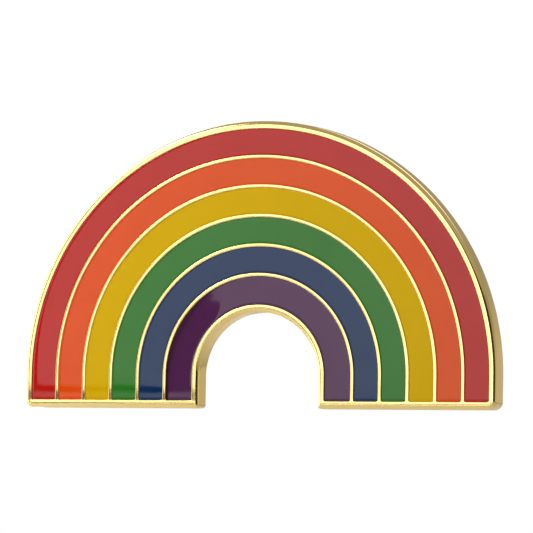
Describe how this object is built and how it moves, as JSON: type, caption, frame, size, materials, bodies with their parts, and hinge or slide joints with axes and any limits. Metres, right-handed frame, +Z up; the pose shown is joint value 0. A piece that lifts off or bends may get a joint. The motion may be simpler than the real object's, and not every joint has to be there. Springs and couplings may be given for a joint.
{
  "type": "enamel pin",
  "caption": "Rainbow-shaped hard enamel pin with coloured bands, raised gold lines, and two posts held by butterfly clutches.",
  "frame": {"origin": "on the plane of the smooth border of the back, midway between the two posts", "axes": "+X across the pin towards its right foot as seen from the front, +Z up to the top of the arch, face towards -Y, posts and clutches towards +Y"},
  "size_m": [0.03, 0.0092, 0.0169],
  "materials": {
    "gold_plate": "polished imitation-gold plating over struck brass",
    "enamel_red": "polished opaque enamel",
    "enamel_orange": "polished opaque enamel",
    "enamel_yellow": "polished opaque enamel",
    "enamel_green": "polished opaque enamel",
    "enamel_blue": "polished opaque enamel",
    "enamel_purple": "polished opaque enamel",
    "post_metal": "polished, gold plated",
    "solder": "bright silver solder, plated thinly",
    "clutch_metal": "polished, gold plated"
  },
  "bodies": {
    "pin": {"base_plate": "gold_plate", "enamel_red": "enamel_red", "enamel_orange": "enamel_orange", "enamel_yellow": "enamel_yellow", "enamel_green": "enamel_green", "enamel_blue": "enamel_blue", "enamel_purple": "enamel_purple", "post_left": "post_metal", "post_right": "post_metal", "solder_left": "solder", "solder_right": "solder"},
    "eyelet_left": {"eyelet_left": "clutch_metal"},
    "clutch_left": {"disc_left": "clutch_metal", "clip_left": "clutch_metal"},
    "wing_left_a": {"wing_left_a": "clutch_metal"},
    "wing_left_b": {"wing_left_b": "clutch_metal"},
    "eyelet_right": {"eyelet_right": "clutch_metal"},
    "clutch_right": {"disc_right": "clutch_metal", "clip_right": "clutch_metal"},
    "wing_right_a": {"wing_right_a": "clutch_metal"},
    "wing_right_b": {"wing_right_b": "clutch_metal"}
  },
  "joints": [
    {"name": "clutch_left_slide", "type": "slide", "parent": "pin", "child": "eyelet_left", "axis": [0, 1, 0], "range_m": [-0.0008, 0.008]},
    {"name": "clutch_left_turn", "type": "hinge", "parent": "eyelet_left", "child": "clutch_left", "pos_m": [-0.00577, 0.0012, 0], "axis": [0, 1, 0], "continuous": true},
    {"name": "squeeze_left_a", "type": "hinge", "parent": "clutch_left", "child": "wing_left_a", "pos_m": [-0.00349, 0.0025, 0.00178], "axis": [0.6157, 0, -0.788], "range_deg": [0, 9], "stiffness_Nm_per_rad": 0.02},
    {"name": "squeeze_left_b", "type": "hinge", "parent": "clutch_left", "child": "wing_left_b", "pos_m": [-0.00806, 0.0025, -0.00178], "axis": [0.6157, 0, -0.788], "range_deg": [-9, 0], "stiffness_Nm_per_rad": 0.02},
    {"name": "clutch_right_slide", "type": "slide", "parent": "pin", "child": "eyelet_right", "axis": [0, 1, 0], "range_m": [-0.0008, 0.008]},
    {"name": "clutch_right_turn", "type": "hinge", "parent": "eyelet_right", "child": "clutch_right", "pos_m": [0.00577, 0.0012, 0], "axis": [0, 1, 0], "continuous": true},
    {"name": "squeeze_right_a", "type": "hinge", "parent": "clutch_right", "child": "wing_right_a", "pos_m": [0.00806, 0.0025, -0.00178], "axis": [-0.6157, 0, -0.788], "range_deg": [0, 9], "stiffness_Nm_per_rad": 0.02},
    {"name": "squeeze_right_b", "type": "hinge", "parent": "clutch_right", "child": "wing_right_b", "pos_m": [0.00349, 0.0025, 0.00178], "axis": [-0.6157, 0, -0.788], "range_deg": [-9, 0], "stiffness_Nm_per_rad": 0.02}
  ],
  "couplings": [
    {"joint": "squeeze_left_b", "follows": "squeeze_left_a", "ratio": -1},
    {"joint": "squeeze_right_b", "follows": "squeeze_right_a", "ratio": -1}
  ]
}
